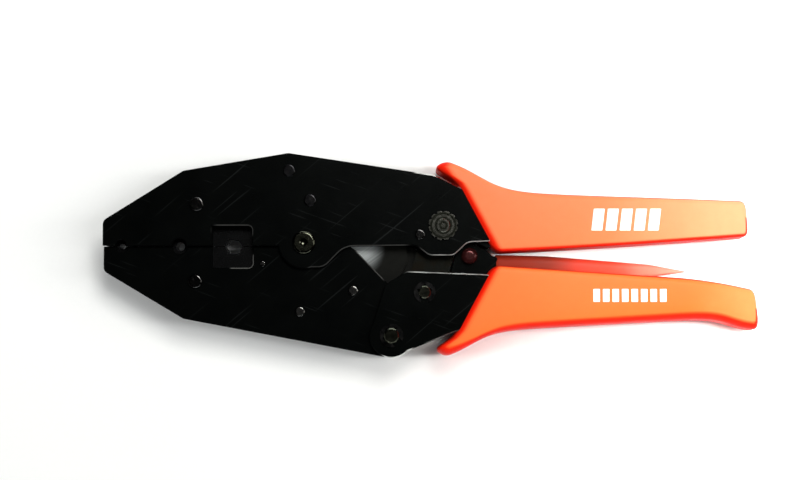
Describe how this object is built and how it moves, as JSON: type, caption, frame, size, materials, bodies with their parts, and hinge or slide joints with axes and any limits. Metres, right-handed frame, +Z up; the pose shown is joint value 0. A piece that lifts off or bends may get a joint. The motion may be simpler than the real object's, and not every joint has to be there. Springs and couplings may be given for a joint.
{
  "type": "ratchet crimping tool",
  "caption": "Plier-type ratchet crimping tool with toggle-linked jaws, profiled dies, a side window at the dies and two moulded orange grips.",
  "frame": {"origin": "middle of the underside of the closed tool lying on its side", "axes": "+X from the nose of the jaws to the ends of the grips, +Y from the moving handle to the fixed handle, +Z up from the side it lies on"},
  "size_m": [0.2288, 0.0714, 0.023],
  "materials": {
    "black_plate": "black oxide steel plate, satin",
    "core_steel": "ground steel block",
    "die_steel": "black oxide die steel",
    "hardened_steel": "hardened dark steel",
    "pin_steel": "turned dark steel",
    "screw_steel": "blackened screw",
    "spring_steel": "spring wire",
    "grip": "orange-red moulded plastic, satin"
  },
  "bodies": {
    "frame": {"frame_plate_near": "black_plate", "frame_plate_far": "black_plate", "frame_liner_near": "black_plate", "frame_liner_far": "black_plate", "frame_core": "black_plate", "frame_rivets": "pin_steel", "frame_tang_spacers": "black_plate", "frame_tang_rivets": "pin_steel", "main_pivot_pin": "pin_steel", "main_spring": "spring_steel", "upper_die": "die_steel", "upper_die_screw": "screw_steel", "lock_screw": "screw_steel", "upper_grip": "grip"},
    "adjuster": {"adjuster": "pin_steel", "adjuster_clip": "spring_steel"},
    "jaw": {"jaw_plate_near": "black_plate", "jaw_plate_far": "black_plate", "jaw_core": "core_steel", "jaw_dowel": "pin_steel", "lower_die": "die_steel", "lower_die_screw": "screw_steel", "pawl_pin": "pin_steel", "spring_anchor_pin": "pin_steel", "pawl_spring": "spring_steel"},
    "pawl": {"pawl": "hardened_steel"},
    "handle": {"handle_plate_near": "black_plate", "handle_plate_far": "black_plate", "handle_core": "black_plate", "handle_end_spacer": "black_plate", "handle_tang_rivets": "pin_steel", "ratchet_sector": "hardened_steel", "handle_pivot_pin": "pin_steel", "handle_pivot_clip": "spring_steel", "link_pin": "pin_steel", "link_pin_clip": "spring_steel", "link_washers": "pin_steel", "stop_pin": "pin_steel", "lower_grip": "grip"},
    "links": {"link_near": "hardened_steel", "link_far": "hardened_steel"}
  },
  "joints": [
    {"name": "handle_hinge", "type": "hinge", "parent": "jaw", "child": "handle", "pos_m": [-0.01376, -0.02799, 0.0115], "axis": [0, 0, -1], "range_deg": [0, 34]},
    {"name": "jaw_hinge", "type": "hinge", "parent": "frame", "child": "jaw", "pos_m": [-0.04426, 0.00441, 0.0115], "axis": [0, 0, 1], "range_deg": [0, 9.2], "deforming": ["main_spring"]},
    {"name": "link_hinge", "type": "hinge", "parent": "handle", "child": "links", "pos_m": [-0.00226, -0.01289, 0.0115], "axis": [0, 0, 1], "range_deg": [0, 50]},
    {"name": "pawl_hinge", "type": "hinge", "parent": "jaw", "child": "pawl", "pos_m": [-0.02716, -0.01229, 0.0115], "axis": [0, 0, 1], "range_deg": [-14, 14], "stiffness_Nm_per_rad": 0.02, "deforming": ["pawl_spring"]},
    {"name": "adjuster_turn", "type": "hinge", "parent": "frame", "child": "adjuster", "pos_m": [0.00424, 0.01031, 0.0115], "axis": [0, 0, 1], "range_deg": [-90, 90]}
  ],
  "couplings": [
    {"joint": "jaw_hinge", "follows": "handle_hinge", "ratio": 0.264},
    {"joint": "link_hinge", "follows": "handle_hinge", "ratio": 1.465}
  ]
}
